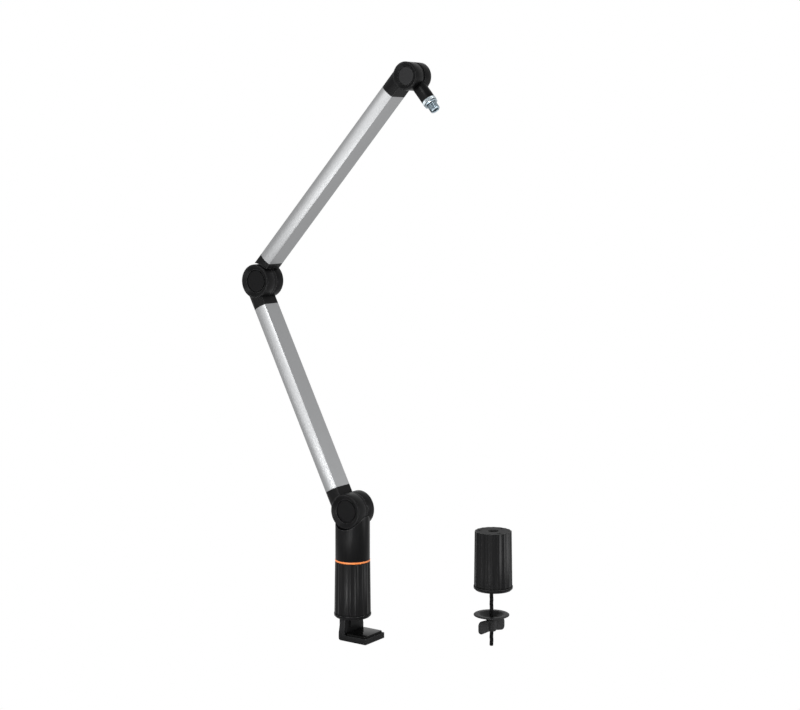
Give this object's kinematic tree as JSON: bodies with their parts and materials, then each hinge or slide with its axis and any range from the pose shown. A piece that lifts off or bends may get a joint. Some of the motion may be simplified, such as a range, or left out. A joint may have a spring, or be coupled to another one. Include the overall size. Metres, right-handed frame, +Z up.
{
  "type": "desktop microphone arm stand",
  "caption": "Two-segment desktop microphone arm on a screw-down desk clamp, with pivot barrels, a tilting microphone thread and a loose through-desk base beside it.",
  "frame": {"origin": "centre of the clamp base's underside, where its rubber ring rests on the desk top", "axes": "+Z up along the base, +X over the desk in the direction of the clamp's foot, +Y along the pivot barrels to the side with the nuts"},
  "size_m": [0.4984, 0.0628, 0.9047],
  "materials": {
    "moulded_black": "fine moulded grain, satin",
    "sleeve_black": "fluted moulding, satin",
    "cap_black": "smooth satin disc",
    "ring_rubber": "matt",
    "pad_rubber": "matt, fine grain",
    "bracket_black": "semi-gloss powder coat on steel",
    "plate_black": "satin powder coat on steel",
    "tube_aluminium": "bead-blasted and clear anodised extrusion",
    "ring_orange": "satin coloured ring",
    "bush_ivory": "self-lubricating bearing plastic",
    "bright_steel": "bright turned steel",
    "black_steel": "black oxide on steel",
    "friction_brown": "fibre friction material",
    "zinc_bright": "bright zinc plating on steel",
    "pressed_black": "black plated steel"
  },
  "bodies": {
    "bases": {"base_core": "moulded_black", "base_flange": "moulded_black", "desk_ring": "ring_rubber", "base_screws": "bright_steel", "top_plate": "plate_black", "plate_screws": "black_steel", "swivel_bush": "bush_ivory", "second_core": "moulded_black", "second_sleeve": "sleeve_black", "second_flange": "moulded_black", "second_desk_ring": "ring_rubber", "second_screws": "bright_steel", "second_plate": "plate_black", "second_plate_screws": "black_steel", "second_bush": "bush_ivory", "second_rod": "black_steel", "second_rod_nut": "bright_steel"},
    "clamp_knob": {"clamp_sleeve": "sleeve_black"},
    "jaw": {"clamp_bracket": "bracket_black", "jaw_pad": "pad_rubber"},
    "post": {"post_housing": "moulded_black", "arm_spigot": "bright_steel", "spigot_screw": "black_steel", "swivel_ring": "ring_orange"},
    "lower_arm": {"shoulder_connector": "moulded_black", "lower_tube": "tube_aluminium", "elbow_lower_connector": "moulded_black", "lower_tube_screws": "black_steel", "shoulder_bolt": "black_steel", "shoulder_nut": "bright_steel", "shoulder_spring_washer": "bright_steel", "shoulder_friction_washers": "friction_brown", "shoulder_front_cap": "cap_black", "shoulder_back_cap": "cap_black", "elbow_bolt": "black_steel", "elbow_nut": "bright_steel", "elbow_spring_washer": "bright_steel", "elbow_friction_washers": "friction_brown", "elbow_front_cap": "cap_black", "elbow_back_cap": "cap_black"},
    "upper_arm": {"elbow_upper_connector": "moulded_black", "upper_tube": "tube_aluminium", "head_connector": "moulded_black", "upper_tube_screws": "black_steel", "head_bolt": "black_steel", "head_nut": "bright_steel", "head_spring_washer": "bright_steel", "head_friction_washers": "friction_brown", "head_front_cap": "cap_black", "head_back_cap": "cap_black"},
    "mic_head": {"mic_spigot": "moulded_black", "mic_stud": "bright_steel"},
    "adapter": {"thread_adapter": "zinc_bright"},
    "lock": {"lock_ring": "zinc_bright"},
    "washer": {"dished_washer": "pressed_black"},
    "nut": {"wing_nut": "pressed_black"}
  },
  "joints": [
    {"name": "knob_turn", "type": "hinge", "parent": "bases", "child": "clamp_knob", "pos_m": [0, 0, 0.045], "axis": [0, 0, 1], "range_deg": [-600, 1680]},
    {"name": "jaw_slide", "type": "slide", "parent": "bases", "child": "jaw", "axis": [0, 0, 1], "range_m": [-0.0281, 0.0101]},
    {"name": "post_swivel", "type": "hinge", "parent": "bases", "child": "post", "pos_m": [0, 0, 0.0872], "axis": [0, 0, 1], "continuous": true},
    {"name": "shoulder_hinge", "type": "hinge", "parent": "post", "child": "lower_arm", "pos_m": [0, 0, 0.1675], "axis": [0, 1, 0], "range_deg": [-14, 70]},
    {"name": "elbow_hinge", "type": "hinge", "parent": "lower_arm", "child": "upper_arm", "pos_m": [-0.18362, 0, 0.52174], "axis": [0, 1, 0], "range_deg": [-125, 96]},
    {"name": "head_tilt", "type": "hinge", "parent": "upper_arm", "child": "mic_head", "pos_m": [0.11385, 0, 0.84866], "axis": [0, 1, 0], "range_deg": [-150, 45]},
    {"name": "adapter_turn", "type": "hinge", "parent": "mic_head", "child": "adapter", "pos_m": [0.1482, 0, 0.80699], "axis": [0.6361, 0, -0.7716], "range_deg": [-45, 45]},
    {"name": "lock_ring_turn", "type": "hinge", "parent": "mic_head", "child": "lock", "pos_m": [0.14438, 0, 0.81162], "axis": [0.6361, 0, -0.7716], "range_deg": [-45, 45]},
    {"name": "washer_slide", "type": "slide", "parent": "bases", "child": "washer", "axis": [0, 0, 1], "range_m": [-0.0201, 0.0301]},
    {"name": "wing_nut_turn", "type": "hinge", "parent": "washer", "child": "nut", "pos_m": [0.2548, 0.004, 0.0416], "axis": [0, 0, 1], "range_deg": [-7200, 10800]}
  ],
  "couplings": [
    {"joint": "jaw_slide", "follows": "knob_turn", "m_per_rad": -0.00095493},
    {"joint": "washer_slide", "follows": "wing_nut_turn", "m_per_rad": 0.00015915}
  ]
}
